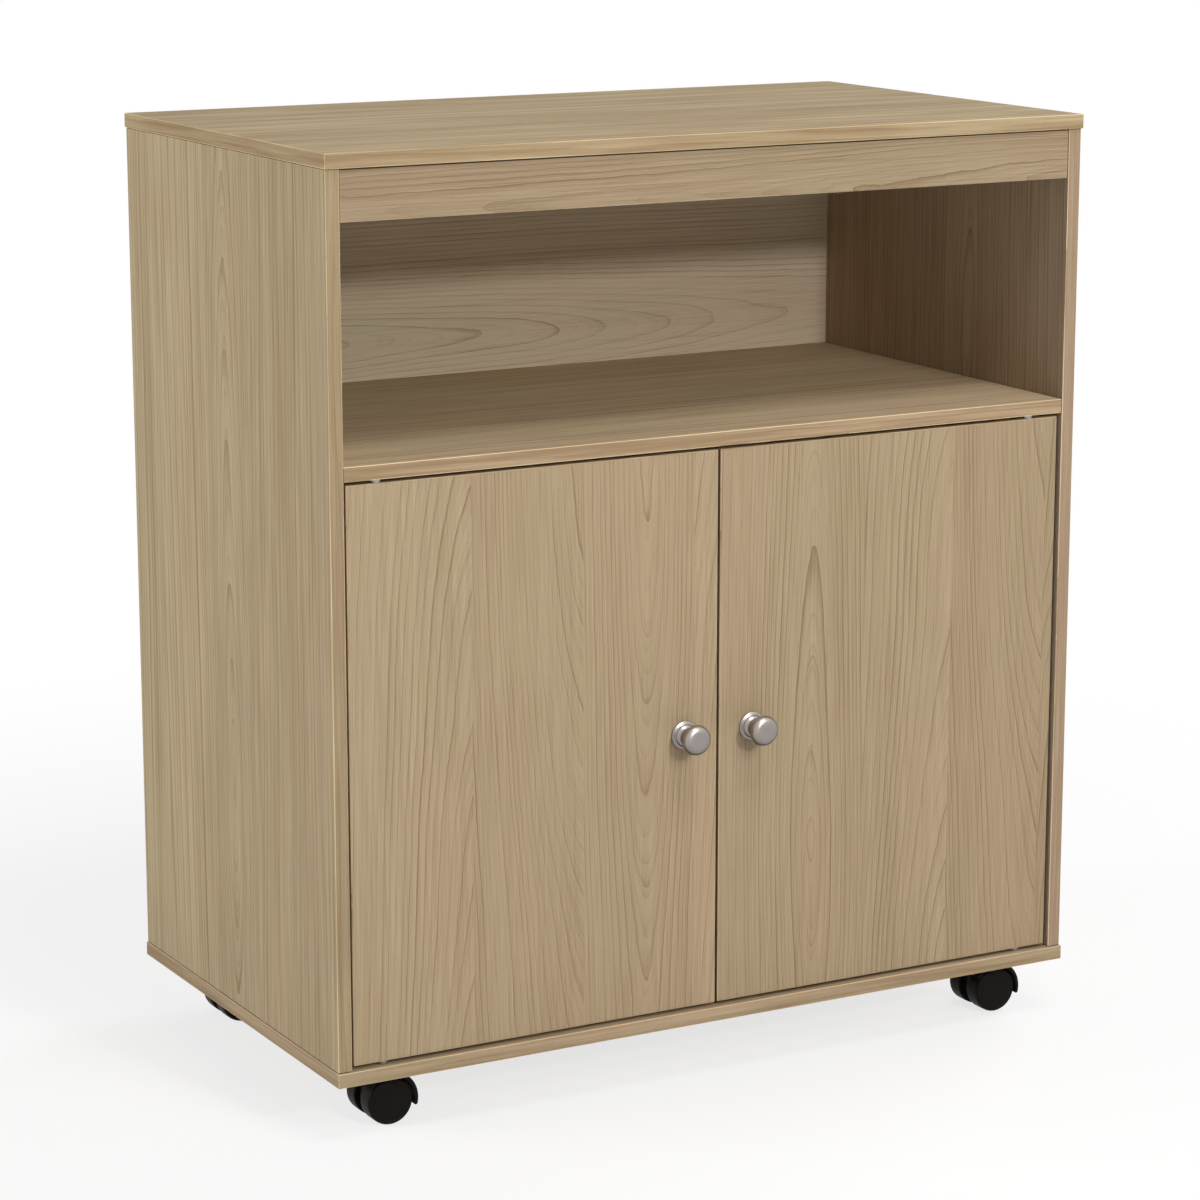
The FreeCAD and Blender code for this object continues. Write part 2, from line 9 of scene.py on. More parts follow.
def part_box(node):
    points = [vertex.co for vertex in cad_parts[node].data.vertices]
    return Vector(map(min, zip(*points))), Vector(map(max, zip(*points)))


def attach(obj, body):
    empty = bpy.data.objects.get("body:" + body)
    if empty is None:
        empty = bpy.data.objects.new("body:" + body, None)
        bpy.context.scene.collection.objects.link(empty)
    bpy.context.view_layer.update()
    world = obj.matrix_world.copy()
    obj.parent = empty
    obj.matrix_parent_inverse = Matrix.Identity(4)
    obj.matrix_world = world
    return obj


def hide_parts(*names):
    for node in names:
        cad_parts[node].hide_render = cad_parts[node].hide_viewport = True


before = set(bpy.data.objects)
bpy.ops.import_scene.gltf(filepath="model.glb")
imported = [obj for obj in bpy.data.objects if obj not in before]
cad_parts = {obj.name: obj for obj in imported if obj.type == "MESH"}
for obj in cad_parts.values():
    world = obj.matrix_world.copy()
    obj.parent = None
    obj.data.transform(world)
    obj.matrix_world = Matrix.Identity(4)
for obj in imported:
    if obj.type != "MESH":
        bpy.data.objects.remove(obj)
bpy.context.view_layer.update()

bl_info = {
    "name": "Kitchen cart",
    "version": (1, 0, 0),
    "blender": (4, 5, 0),
    "location": "View3D > Sidebar > Cart",
    "description": "Gives a kitchen cart its printed boards, knobs, casters, fittings and stage",
    "category": "Object",
}

AXES = "XYZ"
CASTERS = ("front_left", "front_right", "rear_left", "rear_right")
SIDES = ("left", "right")
MM = 0.001
QUARTER_TURN = math.pi / 2.0
WHITE = (1.0, 1.0, 1.0)

# A board's grain runs along one axis, its strips lie side by side across, and depth is its thickness.
# Rings tells how wide its rings are beside the usual ones, gain how bright the red, green and blue of
# its print are, and it is partly painted light that makes up for how much light reaches the board, most
# for the boards in the niche. Cool tells how much of it has the greyer tone, rim how much darker its
# edges are, and joints on which axes its arrises close a joint with another board.
Board = namedtuple("Board", "along across depth strips rings gain cool rim joints")

# A printed strip starts at a share of the board's width. Its rings run round a heart line at another
# share of the width. The heart is buried by depth mm at its turn, a share of the board's length, and
# from there by rise mm more for each metre either way, with up to sway mm here and there. Rings tells
# how wide the strip's rings are beside the board's, and tone how pale the strip is.
Strip = namedtuple("Strip", "start heart depth rise turn sway rings tone")

# What a strip has at a point of its board: lengths in metres, its tone and the seed of its noises.
Figures = namedtuple("Figures", "heart buried rise turn sway ring_width tone seed")

# Where a point lies along and across the grain, at which share of the width, and whether on an edge.
Spot = namedtuple("Spot", "length width share edge")

# A noise that follows the grain: its patches to the metre along and across, a step that sets it apart
# from the strip's other noises, and how much finer noise is in it.
Noise = namedtuple("Noise", "along across step detail")

# How clouds change a finish: a mean, and what broad and fine clouds add to it or take from it.
Mottle = namedtuple("Mottle", "mean broad fine")

# A lamp's place, the point that it faces, and its width and height.
Lamp = namedtuple("Lamp", "place target size")


class Wire:
    """One socket of a material, on which sums are written as plain expressions."""

    def __init__(self, tree, socket=None):
        self.tree = tree
        self.socket = socket

    def node(self, kind, settings=None, sockets=None, output=0):
        """Adds a node, sets it up, fills or links its sockets and returns one of its outputs."""
        made = self.tree.nodes.new(kind)
        for key, value in (settings or {}).items():
            if key == "stops":
                set_stops(made.color_ramp, value)
            else:
                setattr(made, key, value)
        for key, value in (sockets or {}).items():
            self.feed(made.inputs[key], value)
        return Wire(self.tree, made.outputs[output])

    def feed(self, socket, value):
        """Links a wire to a socket, or sets a plain value on it."""
        if isinstance(value, Wire):
            self.tree.links.new(value.socket, socket)
        else:
            socket.default_value = value

    def out(self, name):
        """Another output of the node that this wire comes from."""
        return Wire(self.tree, self.socket.node.outputs[name])

    def math(self, operation, first, second=0.0):
        """Adds a Math node."""
        return self.node("ShaderNodeMath", {"operation": operation}, {0: first, 1: second})

    def __add__(self, other):
        return self.math("ADD", self, other)

    def __radd__(self, other):
        return self.math("ADD", other, self)

    def __sub__(self, other):
        return self.math("SUBTRACT", self, other)

    def __rsub__(self, other):
        return self.math("SUBTRACT", other, self)

    def __mul__(self, other):
        return self.math("MULTIPLY", self, other)

    def __rmul__(self, other):
        return self.math("MULTIPLY", other, self)

    def __truediv__(self, other):
        return self.math("DIVIDE", self, other)

    def __rtruediv__(self, other):
        return self.math("DIVIDE", other, self)

    def __pow__(self, other):
        return self.math("POWER", self, other)

    def __abs__(self):
        return self.math("ABSOLUTE", self)

    def __gt__(self, other):
        return self.math("GREATER_THAN", self, other)

    def __lt__(self, other):
        return self.math("LESS_THAN", self, other)


def set_stops(ramp, stops):
    """Gives a colour ramp hard steps: each stop's four values hold up to the next stop."""
    ramp.interpolation = "CONSTANT"
    while len(ramp.elements) < len(stops):
        ramp.elements.new(1.0)
    for element, (position, values) in zip(ramp.elements, stops):
        element.position = position
        element.color = values


def new_finish(name):
    """A material with its shader, and a wire to start its nodes from."""
    material = bpy.data.materials.new(name)
    material.use_nodes = True
    shader = material.node_tree.nodes["Principled BSDF"]
    return material, shader, Wire(material.node_tree)


def reopened(material):
    """A finish's shader, a wire to add more nodes from, and what feeds its colour so far."""
    shader = material.node_tree.nodes["Principled BSDF"]
    base = Wire(material.node_tree, shader.inputs["Base Color"].links[0].from_socket)
    return shader, Wire(material.node_tree), base


def parts_of(wire):
    """The three parts of a vector, by axis letter."""
    split = wire.node("ShaderNodeSeparateXYZ", {}, {0: wire})
    return {axis: split.out(axis) for axis in AXES}


def point_of(wire):
    """Where a point of the piece is, by axis letter."""
    return parts_of(wire.node("ShaderNodeTexCoord").out("Object"))


def facing_of(wire):
    """Which way the face at a point of the piece looks, by axis letter."""
    return parts_of(wire.node("ShaderNodeTexCoord").out("Normal"))


NOISE_MEAN = 0.5
NOISE_STRETCH = 3.0


def cloud(wire, x, y, z, detail):
    """Soft noise between about -1 and 1 at a point that is already stretched to its scale."""
    point = wire.node("ShaderNodeCombineXYZ", {}, {0: x, 1: y, 2: z})
    noise = wire.node("ShaderNodeTexNoise", {}, {"Vector": point, "Scale": 1.0, "Detail": detail})
    return (noise - NOISE_MEAN) * NOISE_STRETCH


def cloud_at(wire, point, patches, detail):
    """Soft noise at a point of the piece, with so many patches to the metre on each axis."""
    x, y, z = (point[axis] * count for axis, count in zip(AXES, patches))
    return cloud(wire, x, y, z, detail)


def mottled(mottle, broad, fine):
    """A mean that broad and fine clouds change."""
    return mottle.mean + broad * mottle.broad + fine * mottle.fine


# The Mix node's sockets for colours, some of which share their names with its other sockets.
MIX_FACTOR = 0
MIX_FIRST = 6
MIX_SECOND = 7
MIX_RESULT = 2


def mixed(wire, share, first, second):
    """A colour between two colours."""
    settings = {"data_type": "RGBA", "clamp_factor": True}
    sockets = {MIX_FACTOR: share, MIX_FIRST: first, MIX_SECOND: second}
    return wire.node("ShaderNodeMix", settings, sockets, MIX_RESULT)


def scaled(wire, tint, factor):
    """A colour made brighter or darker by a factor that can change over the surface."""
    return wire.node("ShaderNodeVectorMath", {"operation": "SCALE"}, {"Vector": tint, "Scale": factor})


def bumped(wire, height, distance):
    """Normals of a fine relief."""
    return wire.node("ShaderNodeBump", {}, {"Height": height, "Distance": distance, "Strength": 1.0})


def colour(value):
    """Red, green and blue with full cover."""
    return (*value, 1.0)


def gained(tint, gain):
    """A tone made brighter or darker by a share for each of red, green and blue."""
    return colour([part * share for part, share in zip(tint, gain)])


def dimmed(tint, share):
    """A tone made darker by one share, or brighter by a share above 1."""
    return gained(tint, (share, share, share))


# A ramp holds values from 0 to 1, so the strips' figures are made smaller for it and restored behind it.
SHARE_BELOW = 1.0
SHARE_SPAN = 3.0
DEPTH_SPAN = 100.0
SWAY_SPAN = 50.0
RINGS_SPAN = 2.0
MOST_STRIPS = 16.0
SEED_SPAN = 53.0


def strip_stops(strips):
    """Stops of two ramps: the strips' hearts, depths, rises and turns, then their other figures."""
    shape = []
    look = []
    for number, strip in enumerate(strips, 1):
        heart = (strip.heart + SHARE_BELOW) / SHARE_SPAN
        turn = (strip.turn + SHARE_BELOW) / SHARE_SPAN
        sway = strip.sway / SWAY_SPAN
        rings = strip.rings / RINGS_SPAN
        shape.append((strip.start, (heart, strip.depth / DEPTH_SPAN, strip.rise / DEPTH_SPAN, turn)))
        look.append((strip.start, (sway, rings, strip.tone, number / MOST_STRIPS)))
    return shape, look


def strip_figures(wire, node, board, share):
    """The figures of the strip that lies at a share of the board's width."""
    style = bpy.context.scene.cart_boards
    low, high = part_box(node)
    along = AXES.index(board.along)
    across = AXES.index(board.across)
    shape_stops, look_stops = strip_stops(board.strips)
    shape_ramp = wire.node("ShaderNodeValToRGB", {"stops": shape_stops}, {0: share})
    look_ramp = wire.node("ShaderNodeValToRGB", {"stops": look_stops}, {0: share})
    shape = wire.node("ShaderNodeSeparateColor", {}, {0: shape_ramp})
    look = wire.node("ShaderNodeSeparateColor", {}, {0: look_ramp})
    board_seed = sum(ord(letter) for letter in node)
    heart_share = shape * SHARE_SPAN - SHARE_BELOW
    turn_share = shape_ramp.out("Alpha") * SHARE_SPAN - SHARE_BELOW
    return Figures(
        heart=heart_share * (high[across] - low[across]),
        buried=shape.out("Green") * (DEPTH_SPAN * MM),
        rise=shape.out("Blue") * (DEPTH_SPAN * MM),
        turn=low[along] + turn_share * (high[along] - low[along]),
        sway=look * (SWAY_SPAN * MM),
        ring_width=look.out("Green") * (RINGS_SPAN * style.ring_width * board.rings),
        tone=look.out("Blue"),
        seed=look_ramp.out("Alpha") * SEED_SPAN + board_seed,
    )


# A face looks along an axis when its normal has more than this on it.
FACE_LIMIT = 0.6


def print_spot(wire, node, board, facing):
    """A point's place on the print. The narrow ends carry an edging whose grain runs along the edge."""
    low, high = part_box(node)
    across = AXES.index(board.across)
    depth = AXES.index(board.depth)
    point = point_of(wire)
    end = abs(facing[board.along]) > FACE_LIMIT
    edge = abs(facing[board.depth]) < FACE_LIMIT
    length = point[board.along] + (point[board.across] - point[board.along]) * end
    through = point[board.depth] - low[depth]
    width = through + (point[board.across] - low[across]) * (1.0 - end)
    return Spot(length, width, width / (high[across] - low[across]), edge)


def grain_noise(wire, noise, spot, seed, wider=1.0):
    """Noise that follows the grain, with patches that can be made wider across it."""
    across = spot.width * (noise.across / wider)
    return cloud(wire, spot.length * noise.along, across, seed + noise.step, noise.detail)


# How far the heart line and the rings stray, in metres, and how fast that changes along the board.
SLOW_RATE = 3.4
WANDER_RATE = 2.3
WANDER_ACROSS = 1.5
WANDER_STEP = 7.0
WANDER = 3.5 * MM
EDGE_WANDER = 7.0 * MM
RIPPLE = Noise(26.0, 55.0, 0.0, 2.0)
RIPPLE_HEIGHT = 0.5 * MM
JAG = Noise(110.0, 70.0, 2.0, 2.0)
JAG_HEIGHT = 0.16 * MM
SPACING_RATE = 0.4
SPACING_STEP = 21.0
SPACING_CHANGE = 0.5
ONE_OCTAVE = 1.0

# A ring ends in a sharp line on a soft shade. Both differ from ring to ring, fade here and there and are
# calmer on the edges. The shade is deeper at the sides of a cathedral than at its tips.
LINE_SHARPNESS = 15.0
LINE_COARSENING = 1.2
LINE_SHARE = 0.62
SHADE_SHARPNESS = 3.0
SHADE_SHARE = 0.10
SHADE_ASIDE = 0.24
LINE_LEAST = 0.25
LINE_SPREAD = 0.95
FADING = Noise(7.0, 24.0, 3.0, 2.0)
FADING_MEAN = 0.9
FADING_SPREAD = 0.35
EDGE_CALM = 0.6

# Finer lines between the rings.
HAIR_RATE = 2.7
HAIR_WANDER = 0.4
HAIR_SHARPNESS = 4.0
HAIR_MEAN = 0.5
HAIR_SPREAD = 0.5


def ring_lines(wire, board, figures, spot):
    """Dark ends of the rings round the heart line, as the face cuts them, and finer lines between them."""
    seed = figures.seed
    slow = cloud(wire, spot.length * SLOW_RATE, seed, 0.0, ONE_OCTAVE)
    wander = cloud(wire, spot.length * WANDER_RATE, seed + WANDER_STEP, spot.share * WANDER_ACROSS,
                   ONE_OCTAVE)
    aside = spot.width - figures.heart + wander * WANDER + spot.edge * slow * EDGE_WANDER
    under = figures.buried + figures.rise * abs(spot.length - figures.turn) + figures.sway * slow
    radius = wire.math("SQRT", aside * aside + under * under)
    ripple = grain_noise(wire, RIPPLE, spot, seed)
    jag = grain_noise(wire, JAG, spot, seed)
    ring = (radius + ripple * RIPPLE_HEIGHT + jag * JAG_HEIGHT) / figures.ring_width
    spacing = cloud(wire, ring * SPACING_RATE, seed + SPACING_STEP, 0.0, ONE_OCTAVE)
    ring = ring + spacing * SPACING_CHANGE

    phase = wire.math("FRACT", ring)
    count = wire.math("FLOOR", ring)
    strength = wire.node("ShaderNodeTexWhiteNoise", {"noise_dimensions": "1D"}, {"W": count + seed})
    fading = grain_noise(wire, FADING, spot, seed)
    lean = abs(aside) / radius
    calm = 1.0 - EDGE_CALM * spot.edge
    sharp = phase ** (LINE_SHARPNESS / board.rings ** LINE_COARSENING)
    soft = phase ** SHADE_SHARPNESS
    line = sharp * LINE_SHARE + soft * (SHADE_SHARE + SHADE_ASIDE * lean)
    line = line * (LINE_LEAST + LINE_SPREAD * strength) * (FADING_MEAN + FADING_SPREAD * fading) * calm
    hair = wire.math("FRACT", ring * HAIR_RATE + wander * HAIR_WANDER) ** HAIR_SHARPNESS
    hair = hair * (HAIR_MEAN + HAIR_SPREAD * fading) * calm
    return line, hair


# An arris has less of its normal than ARRIS_LIMIT on every axis. It closes a joint where it has more than
# JOINT_LIMIT on one of the axes that the board names. Arrises get a painted highlight, and painted shade
# where they close a joint.
ARRIS_LIMIT = 0.9
PAINTED_ARRIS_HIGHLIGHT = 0.5
JOINT_LIMIT = 0.3
PAINTED_JOINT_SHADE = 1.3


def arris_highlight_and_joint_shade(board, facing):
    """How bright a point is beside the print: arrises get a painted highlight, and painted shade at a joint.
    """
    arris = 1.0
    for axis in AXES:
        arris = arris * (abs(facing[axis]) < ARRIS_LIMIT)
    joint_shade = 0.0
    for axis in board.joints:
        joint_shade = joint_shade + (abs(facing[axis]) > JOINT_LIMIT) * PAINTED_JOINT_SHADE
    return 1.0 + arris * (PAINTED_ARRIS_HIGHLIGHT - joint_shade)


# Fibres, broader threads, pores and slow changes of tone in the print.
FIBRE = Noise(13.0, 850.0, 0.0, 3.0)
FIBRE_KEPT = 0.4
FIBRE_ROUGHNESS = 0.025
FIBRE_RELIEF = 0.5
THREAD = Noise(5.0, 190.0, 11.0, 2.0)
THREAD_DEPTH = 0.09
THREAD_COARSENING = 2.0
FLECK = Noise(110.0, 1300.0, 5.0, 1.0)
FLECK_LIMIT = 0.62
FLECK_DEPTH = 0.18
BAND = Noise(1.1, 17.0, 9.0, 2.0)
BAND_DEPTH = 0.12
PATCH = Noise(2.6, 9.0, 15.0, 2.0)
PATCH_DEPTH = 0.6
HAIR_DEPTH = 0.40
LINE_ROUGHNESS = 0.05
PRINT_RELIEF = 0.04 * MM


def board_finish(node, board):
    """Printed wood grain on one board, with its own strips and painted light on its arrises and joints."""
    style = bpy.context.scene.cart_boards
    material, shader, wire = new_finish("printed_wood_" + node)
    facing = facing_of(wire)
    spot = print_spot(wire, node, board, facing)
    figures = strip_figures(wire, node, board, spot.share)
    line, hair = ring_lines(wire, board, figures, spot)
    fibre = grain_noise(wire, FIBRE, spot, figures.seed, FIBRE_KEPT + (1.0 - FIBRE_KEPT) * board.rings)
    thread = grain_noise(wire, THREAD, spot, figures.seed, board.rings)
    fleck = grain_noise(wire, FLECK, spot, figures.seed) > FLECK_LIMIT
    band = grain_noise(wire, BAND, spot, figures.seed)
    patch = grain_noise(wire, PATCH, spot, figures.seed)

    thread_depth = THREAD_DEPTH * board.rings ** THREAD_COARSENING
    level = figures.tone + band * BAND_DEPTH + thread * thread_depth + fibre * style.fibre_depth
    level = level - line * style.line_depth - hair * HAIR_DEPTH - fleck * FLECK_DEPTH - spot.edge * board.rim
    tints = (style.pale_warm, style.pale_cool, style.dark)
    # The board's gain is partly painted light: it makes up for how much light reaches the board, most in the
    # niche.
    warm, cool, dark = (gained(tint, board.gain) for tint in tints)
    pale = mixed(wire, board.cool + patch * PATCH_DEPTH, warm, cool)
    # The arrises get a painted highlight, and painted shade where they close a joint.
    base = scaled(wire, mixed(wire, level, dark, pale), arris_highlight_and_joint_shade(board, facing))
    wire.feed(shader.inputs["Base Color"], base)
    roughness = style.roughness + fibre * FIBRE_ROUGHNESS + line * LINE_ROUGHNESS
    wire.feed(shader.inputs["Roughness"], roughness)
    wire.feed(shader.inputs["Normal"], bumped(wire, fibre * FIBRE_RELIEF - line, PRINT_RELIEF))
    shader.inputs["Specular IOR Level"].default_value = style.gloss
    return material


FUZZ_PATCHES = (420.0, 420.0, 420.0)
STAIN_PATCHES = (9.0, 9.0, 9.0)
BARE_TONE = Mottle(0.5, 0.2, 0.3)


def hardboard_finish(node, board):
    """The back panel: printed on the face, bare brown fibreboard on the rear and the edges."""
    style = bpy.context.scene.cart_boards
    material = board_finish(node, board)
    shader, wire, printed = reopened(material)
    point = point_of(wire)
    bare_side = facing_of(wire)["Y"] > -FACE_LIMIT
    fuzz = cloud_at(wire, point, FUZZ_PATCHES, detail=3.0)
    stain = cloud_at(wire, point, STAIN_PATCHES, detail=2.0)
    tone = mottled(BARE_TONE, stain, fuzz)
    bare = mixed(wire, tone, colour(style.fibreboard_dark), colour(style.fibreboard_pale))
    wire.feed(shader.inputs["Base Color"], mixed(wire, bare_side, printed, bare))
    return material


METAL_PATCHES = (160.0, 160.0, 160.0)
METAL_DARKER = 0.86
METAL_TONE = Mottle(0.6, 0.3, 0.2)
METAL_GLOSS = Mottle(0.0, 0.03, 0.05)
METAL_SLOPE = 0.01


def brushed_metal(name, tint, roughness, fineness):
    """Metal with a fine even polish: small clouds in its colour and gloss."""
    material, shader, wire = new_finish(name)
    point = point_of(wire)
    fine = cloud_at(wire, point, (fineness, fineness, fineness), detail=3.0)
    broad = cloud_at(wire, point, METAL_PATCHES, detail=2.0)
    tone = mottled(METAL_TONE, broad, fine)
    wire.feed(shader.inputs["Base Color"], mixed(wire, tone, dimmed(tint, METAL_DARKER), colour(tint)))
    wire.feed(shader.inputs["Roughness"], roughness + mottled(METAL_GLOSS, broad, fine))
    wire.feed(shader.inputs["Normal"], bumped(wire, fine, METAL_SLOPE / fineness))
    shader.inputs["Metallic"].default_value = 1.0
    return material


# Painted light on the metal: how much painted highlight it has facing up and on its flanks, how much
# painted shade facing down, and how soon its rear tone, a painted reflection, is full.
PAINTED_UPPER_HIGHLIGHT = 0.4
PAINTED_LOWER_SHADE = 0.6
PAINTED_FLANK_HIGHLIGHT = 0.4
PAINTED_REFLECTION_REACH = 1.6


def satin_metal_with_painted_light(name, tint, rear, sheen, roughness, fineness):
    """Brushed metal with painted highlights up and on its flanks, painted shade down, painted reflection
    back.
    """
    material = brushed_metal(name, tint, roughness, fineness)
    shader, wire, brushed = reopened(material)
    facing = facing_of(wire)
    # A painted highlight facing up and on the flanks, painted shade facing down, and a painted reflection
    # tone facing back.
    highlight_share = wire.math("MAXIMUM", facing["Z"], 0.0)
    shade_share = wire.math("MAXIMUM", facing["Z"] * -1.0, 0.0)
    reflection_share = wire.math("MAXIMUM", facing["Y"] * PAINTED_REFLECTION_REACH, 0.0)
    light = 1.0 + PAINTED_UPPER_HIGHLIGHT * highlight_share - PAINTED_LOWER_SHADE * shade_share + PAINTED_FLANK_HIGHLIGHT * (1.0 - abs(facing["Y"]))
    wire.feed(shader.inputs["Base Color"], mixed(wire, reflection_share, scaled(wire, brushed, light), colour(rear)))
    shader.inputs["Specular Tint"].default_value = colour(sheen)
    return material


PLASTIC_PATCHES = (70.0, 70.0, 70.0)
PLASTIC_PALER = 1.35
PLASTIC_TONE = Mottle(0.4, 0.3, 0.2)
PLASTIC_GLOSS = Mottle(0.0, 0.04, 0.06)
PLASTIC_RELIEF = 0.02 * MM


def moulded_plastic(name, tint, roughness, fineness, gloss):
    """Moulded plastic: a fine skin in its gloss and a slight change of tone."""
    material, shader, wire = new_finish(name)
    point = point_of(wire)
    fine = cloud_at(wire, point, (fineness, fineness, fineness), detail=2.0)
    broad = cloud_at(wire, point, PLASTIC_PATCHES, detail=2.0)
    tone = mottled(PLASTIC_TONE, broad, fine)
    wire.feed(shader.inputs["Base Color"], mixed(wire, tone, colour(tint), dimmed(tint, PLASTIC_PALER)))
    wire.feed(shader.inputs["Roughness"], roughness + mottled(PLASTIC_GLOSS, broad, fine))
    wire.feed(shader.inputs["Normal"], bumped(wire, fine, PLASTIC_RELIEF))
    shader.inputs["Specular IOR Level"].default_value = gloss
    return material


STREAK_PATCHES = (900.0, 900.0, 60.0)
STREAK_ROUGHNESS = 0.05
STREAK_RELIEF = 0.03 * MM
RAY_PATCHES = (300.0, 300.0, 900.0)
RAY_LIMIT = 0.5
DOWEL_DARKER = 0.7
DOWEL_TONE = Mottle(0.6, -0.3, 0.3)


def dowel_finish(name, tint, roughness):
    """Turned beech: fine streaks along the dowel and short darker rays."""
    material, shader, wire = new_finish(name)
    point = point_of(wire)
    streak = cloud_at(wire, point, STREAK_PATCHES, detail=3.0)
    ray = cloud_at(wire, point, RAY_PATCHES, detail=1.0) > RAY_LIMIT
    tone = mottled(DOWEL_TONE, ray, streak)
    wire.feed(shader.inputs["Base Color"], mixed(wire, tone, dimmed(tint, DOWEL_DARKER), colour(tint)))
    wire.feed(shader.inputs["Roughness"], roughness + streak * STREAK_ROUGHNESS)
    wire.feed(shader.inputs["Normal"], bumped(wire, streak, STREAK_RELIEF))
    return material


MERGE_DISTANCE = 0.01 * MM
ROUNDING_LEVELS = 2


def turned(outline, steps):
    """A mesh turned about Z from an outline of radii and heights in millimetres."""
    shape = bmesh.new()
    rim = [shape.verts.new((radius * MM, 0.0, height * MM)) for radius, height in outline]
    ribs = [shape.edges.new(pair) for pair in zip(rim, rim[1:])]
    bmesh.ops.spin(shape, geom=rim + ribs, cent=(0.0, 0.0, 0.0), axis=(0.0, 0.0, 1.0),
                   angle=math.tau, steps=steps, use_merge=True)
    bmesh.ops.remove_doubles(shape, verts=shape.verts, dist=MERGE_DISTANCE)
    bmesh.ops.recalc_face_normals(shape, faces=shape.faces)
    for face in shape.faces:
        face.smooth = True
    return shape


def settle(shape, name, turn, place):
    """Turns a mesh, moves it to its place and makes it an object with rounded forms."""
    bmesh.ops.transform(shape, matrix=Matrix.Translation(place) @ turn, verts=shape.verts)
    mesh = bpy.data.meshes.new(name)
    shape.to_mesh(mesh)
    shape.free()
    piece = bpy.data.objects.new(name, mesh)
    bpy.context.scene.collection.objects.link(piece)
    smooth = piece.modifiers.new("rounded", "SUBSURF")
    smooth.levels = ROUNDING_LEVELS
    smooth.render_levels = ROUNDING_LEVELS
    return piece


def seat_of(node, rear):
    """The middle of a node's rear face, or of its front face."""
    low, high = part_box(node)
    return Vector(((low.x + high.x) / 2.0, high.y if rear else low.y, (low.z + high.z) / 2.0))


def stand_in(piece, node, body, material):
    """Shows a piece instead of a node of the frame, on that node's body."""
    piece.data.materials.append(material)
    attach(piece, body)
    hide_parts(node)


def dress(node, material):
    """Puts a finish on a node of the frame."""
    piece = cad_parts[node]
    if not piece.material_slots:
        piece.data.materials.append(material)
    for slot in piece.material_slots:
        slot.material = material


LAMPS = {
    "key": Lamp((0.40, -2.70, 2.15), (0.0, -0.19, 0.45), (0.7, 0.7)),
    "niche": Lamp((0.31, -3.05, 1.52), (0.0, 0.0, 0.60), (0.24, 0.16)),
    "low": Lamp((0.20, -3.20, 0.95), (0.0, 0.0, 0.60), (0.8, 0.16)),
    "side": Lamp((-2.80, 0.75, 1.20), (0.0, 0.0, 0.45), (1.2, 1.2)),
    "top": Lamp((0.10, -1.45, 3.10), (0.0, -0.10, 0.70), (1.0, 0.8)),
    "back": Lamp((2.90, 1.10, 1.70), (0.0, 0.0, 0.40), (1.6, 1.6)),
}


def soft_lamp(name, lamp, power):
    """A flat soft lamp that faces a point."""
    light = bpy.data.lights.new(name, "AREA")
    light.shape = "RECTANGLE"
    light.size, light.size_y = lamp.size
    light.energy = power
    holder = bpy.data.objects.new(name, light)
    holder.location = lamp.place
    holder.rotation_euler = (Vector(lamp.target) - Vector(lamp.place)).to_track_quat("-Z", "Y").to_euler()
    bpy.context.scene.collection.objects.link(holder)


def seen_directly(wire):
    """1 for what the camera sees, in mirrors too, and 0 for the light that falls on other pieces."""
    rays = wire.node("ShaderNodeLightPath")
    seen = rays.out("Is Camera Ray") + rays.out("Is Glossy Ray") + rays.out("Is Transmission Ray")
    return seen > 0.5


# The floor has FLOOR_WHITE of plain white in it near the cart. It turns all white between SHADOW_REACH and
# SHADOW_END, in metres from its middle.
FLOOR_RADIUS = 8.0
FLOOR_DARKER = 0.985
FLOOR_ROUGHNESS = 0.9
FLOOR_GLOSS = 0.1
FLOOR_WHITE = 0.74
SPECK_PATCHES = (60.0, 60.0, 0.0)
SHADOW_REACH = 0.55
SHADOW_END = 1.5


def floor_finish(tint):
    """Pale floor that takes the shadow close to the cart and is plain white further off."""
    material, shader, wire = new_finish("pale_floor")
    point = point_of(wire)
    reach = wire.math("SQRT", point["X"] * point["X"] + point["Y"] * point["Y"])
    far = wire.node("ShaderNodeMapRange", {"interpolation_type": "SMOOTHSTEP"},
                    {"Value": reach, "From Min": SHADOW_REACH, "From Max": SHADOW_END})
    speck = cloud_at(wire, point, SPECK_PATCHES, detail=2.0)
    tone = mixed(wire, 0.5 + speck * 0.5, dimmed(tint, FLOOR_DARKER), colour(tint))
    wire.feed(shader.inputs["Base Color"], tone)
    shader.inputs["Roughness"].default_value = FLOOR_ROUGHNESS
    shader.inputs["Specular IOR Level"].default_value = FLOOR_GLOSS
    white = wire.node("ShaderNodeEmission", {}, {"Color": colour(WHITE), "Strength": 1.0})
    shaded = Wire(material.node_tree, shader.outputs[0])
    whiteness = (FLOOR_WHITE + (1.0 - FLOOR_WHITE) * far) * seen_directly(wire)
    both = wire.node("ShaderNodeMixShader", {}, {0: whiteness, 1: shaded, 2: white})
    wire.feed(material.node_tree.nodes["Material Output"].inputs["Surface"], both)
    return material


def lay_floor(stage):
    """A round floor under the cart."""
    shape = bmesh.new()
    bmesh.ops.create_circle(shape, cap_ends=True, segments=64, radius=FLOOR_RADIUS)
    mesh = bpy.data.meshes.new("floor")
    shape.to_mesh(mesh)
    shape.free()
    mesh.materials.append(floor_finish(stage.floor))
    floor = bpy.data.objects.new("floor", mesh)
    bpy.context.scene.collection.objects.link(floor)


def white_surround(stage):
    """A surround that looks white and gives little light."""
    world = bpy.data.worlds.new("white_surround")
    world.use_nodes = True
    wire = Wire(world.node_tree)
    background = world.node_tree.nodes["Background"]
    background.inputs["Color"].default_value = colour(WHITE)
    strength = stage.ambient + seen_directly(wire) * (1.0 - stage.ambient)
    wire.feed(background.inputs["Strength"], strength)
    bpy.context.scene.world = world


